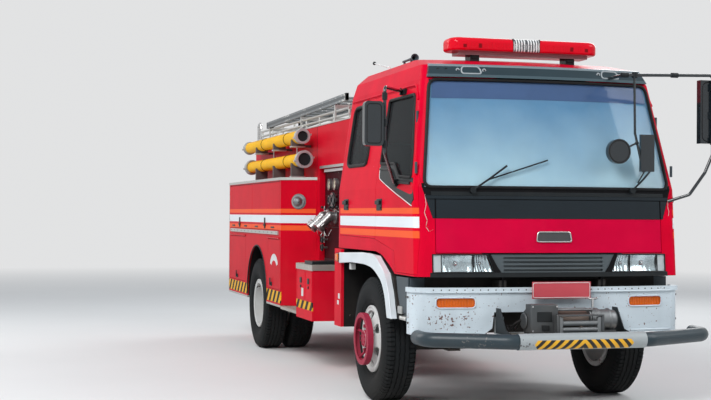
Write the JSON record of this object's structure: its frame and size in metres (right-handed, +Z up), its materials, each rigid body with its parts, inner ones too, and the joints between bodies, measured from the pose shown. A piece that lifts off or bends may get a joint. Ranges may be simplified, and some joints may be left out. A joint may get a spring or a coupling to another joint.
{
  "type": "fire engine",
  "caption": "Red crew-cab fire engine with side lockers, mid pump bay, stowed suction hoses, roof ladder, front winch and twin rear tyres.",
  "frame": {"origin": "centre of the overall box at ground level", "axes": "+Z up, -Y is the front of the vehicle, +X is the vehicle's left side"},
  "size_m": [3.13, 8.2518, 3.05],
  "materials": {
    "red_paint": "glossy",
    "dark_red_paint": "satin",
    "white_paint": "satin",
    "frame_paint": "matte",
    "engine_iron": "matte",
    "bar_paint": "satin",
    "tread_metal": "satin",
    "cast_metal": "satin",
    "hose_yellow": "satin",
    "black_plastic": "matte",
    "grey_plastic": "satin",
    "lamp_glass": "glossy",
    "red_lens": "glossy",
    "amber_lens": "glossy",
    "seat_cloth": "matte",
    "clear_glass": "glossy",
    "tyre_rubber": "matte"
  },
  "bodies": {
    "chassis": {"chassis_frame": "frame_paint", "engine_block": "engine_iron", "running_gear": "frame_paint", "bumper": "white_paint", "bull_bar": "bar_paint", "winch": "bar_paint", "front_flares": "white_paint", "wheel_liners": "black_plastic", "entry_steps": "grey_plastic", "side_boxes": "red_paint", "tread_plates": "tread_metal", "body_shell": "red_paint", "upper_body": "red_paint", "pump_bay": "dark_red_paint", "pump_fittings": "cast_metal", "body_trims": "tread_metal", "suction_hoses": "hose_yellow", "hose_couplings": "cast_metal", "hose_cradles": "cast_metal", "roof_rack": "tread_metal", "roof_ladder": "tread_metal", "marker_lamps": "amber_lens"},
    "cab": {"cab_shell": "red_paint", "windscreen": "clear_glass", "grille": "black_plastic", "headlamps": "lamp_glass", "visor": "grey_plastic", "light_bar": "red_lens", "seats": "seat_cloth", "dashboard": "grey_plastic", "mirror_left": "black_plastic"},
    "front_lid": {"front_lid": "red_paint"},
    "cab_door_front_right": {"door_front_right": "red_paint", "glass_front_right": "clear_glass", "mirror_right": "black_plastic"},
    "cab_door_rear_right": {"door_rear_right": "red_paint", "glass_rear_right": "clear_glass"},
    "locker_door_upper_front_right": {"locker_upper_front_right": "red_paint"},
    "locker_door_upper_rear_right": {"locker_upper_rear_right": "red_paint"},
    "locker_door_lower_front_right": {"locker_lower_front_right": "red_paint"},
    "locker_door_lower_rear_right": {"locker_lower_rear_right": "red_paint"},
    "knuckle_body_right": {"knuckle_right": "frame_paint"},
    "front_wheel_right": {"wheel_front_right": "white_paint", "tyre_front_right": "tyre_rubber"},
    "rear_wheels_right": {"wheel_rear_right": "white_paint", "tyre_rear_right": "tyre_rubber"},
    "cab_door_front_left": {"door_front_left": "red_paint", "glass_front_left": "clear_glass"},
    "cab_door_rear_left": {"door_rear_left": "red_paint", "glass_rear_left": "clear_glass"},
    "locker_door_upper_front_left": {"locker_upper_front_left": "red_paint"},
    "locker_door_upper_rear_left": {"locker_upper_rear_left": "red_paint"},
    "locker_door_lower_front_left": {"locker_lower_front_left": "red_paint"},
    "locker_door_lower_rear_left": {"locker_lower_rear_left": "red_paint"},
    "knuckle_body_left": {"knuckle_left": "frame_paint"},
    "front_wheel_left": {"wheel_front_left": "white_paint", "tyre_front_left": "tyre_rubber"},
    "rear_wheels_left": {"wheel_rear_left": "white_paint", "tyre_rear_left": "tyre_rubber"}
  },
  "joints": [
    {"name": "cab_tilt", "type": "hinge", "parent": "chassis", "child": "cab", "pos_m": [0, -3.514, 1.05], "axis": [1, 0, 0], "range_deg": [0, 45]},
    {"name": "front_lid_hinge", "type": "hinge", "parent": "cab", "child": "front_lid", "pos_m": [0, -3.542, 1.7075], "axis": [-1, 0, 0], "range_deg": [0, 75]},
    {"name": "cab_door_front_hinge_right", "type": "hinge", "parent": "cab", "child": "cab_door_front_right", "pos_m": [-1.133, -3.48, 1.5], "axis": [0, 0, 1], "range_deg": [0, 70]},
    {"name": "cab_door_rear_hinge_right", "type": "hinge", "parent": "cab", "child": "cab_door_rear_right", "pos_m": [-1.133, -2.384, 1.5], "axis": [0, 0, 1], "range_deg": [0, 70]},
    {"name": "locker_hinge_upper_front_right", "type": "hinge", "parent": "chassis", "child": "locker_door_upper_front_right", "pos_m": [-1.2015, 1.806, 1.935], "axis": [0, 1, 0], "range_deg": [0, 95]},
    {"name": "locker_hinge_upper_rear_right", "type": "hinge", "parent": "chassis", "child": "locker_door_upper_rear_right", "pos_m": [-1.2015, 3.296, 1.935], "axis": [0, 1, 0], "range_deg": [0, 95]},
    {"name": "locker_hinge_lower_front_right", "type": "hinge", "parent": "chassis", "child": "locker_door_lower_front_right", "pos_m": [-1.2015, 1.336, 1.299], "axis": [0, 1, 0], "range_deg": [0, 95]},
    {"name": "locker_hinge_lower_rear_right", "type": "hinge", "parent": "chassis", "child": "locker_door_lower_rear_right", "pos_m": [-1.2015, 3.471, 1.299], "axis": [0, 1, 0], "range_deg": [0, 95]},
    {"name": "steer_right", "type": "hinge", "parent": "chassis", "child": "knuckle_body_right", "pos_m": [-0.86, -2.364, 0.524], "axis": [0, 0, 1], "range_deg": [-35, 35]},
    {"name": "spin_front_right", "type": "hinge", "parent": "knuckle_body_right", "child": "front_wheel_right", "pos_m": [-1.037, -2.364, 0.524], "axis": [1, 0, 0], "continuous": true},
    {"name": "spin_rear_right", "type": "hinge", "parent": "chassis", "child": "rear_wheels_right", "pos_m": [-0.9, 2.266, 0.524], "axis": [1, 0, 0], "continuous": true},
    {"name": "cab_door_front_hinge_left", "type": "hinge", "parent": "cab", "child": "cab_door_front_left", "pos_m": [1.133, -3.48, 1.5], "axis": [0, 0, -1], "range_deg": [0, 70]},
    {"name": "cab_door_rear_hinge_left", "type": "hinge", "parent": "cab", "child": "cab_door_rear_left", "pos_m": [1.133, -2.384, 1.5], "axis": [0, 0, -1], "range_deg": [0, 70]},
    {"name": "locker_hinge_upper_front_left", "type": "hinge", "parent": "chassis", "child": "locker_door_upper_front_left", "pos_m": [1.2015, 1.806, 1.935], "axis": [0, -1, 0], "range_deg": [0, 95]},
    {"name": "locker_hinge_upper_rear_left", "type": "hinge", "parent": "chassis", "child": "locker_door_upper_rear_left", "pos_m": [1.2015, 3.296, 1.935], "axis": [0, -1, 0], "range_deg": [0, 95]},
    {"name": "locker_hinge_lower_front_left", "type": "hinge", "parent": "chassis", "child": "locker_door_lower_front_left", "pos_m": [1.2015, 1.336, 1.299], "axis": [0, -1, 0], "range_deg": [0, 95]},
    {"name": "locker_hinge_lower_rear_left", "type": "hinge", "parent": "chassis", "child": "locker_door_lower_rear_left", "pos_m": [1.2015, 3.471, 1.299], "axis": [0, -1, 0], "range_deg": [0, 95]},
    {"name": "steer_left", "type": "hinge", "parent": "chassis", "child": "knuckle_body_left", "pos_m": [0.86, -2.364, 0.524], "axis": [0, 0, 1], "range_deg": [-35, 35]},
    {"name": "spin_front_left", "type": "hinge", "parent": "knuckle_body_left", "child": "front_wheel_left", "pos_m": [1.037, -2.364, 0.524], "axis": [1, 0, 0], "continuous": true},
    {"name": "spin_rear_left", "type": "hinge", "parent": "chassis", "child": "rear_wheels_left", "pos_m": [0.9, 2.266, 0.524], "axis": [1, 0, 0], "continuous": true}
  ],
  "couplings": [
    {"joint": "steer_left", "follows": "steer_right", "ratio": 1}
  ]
}
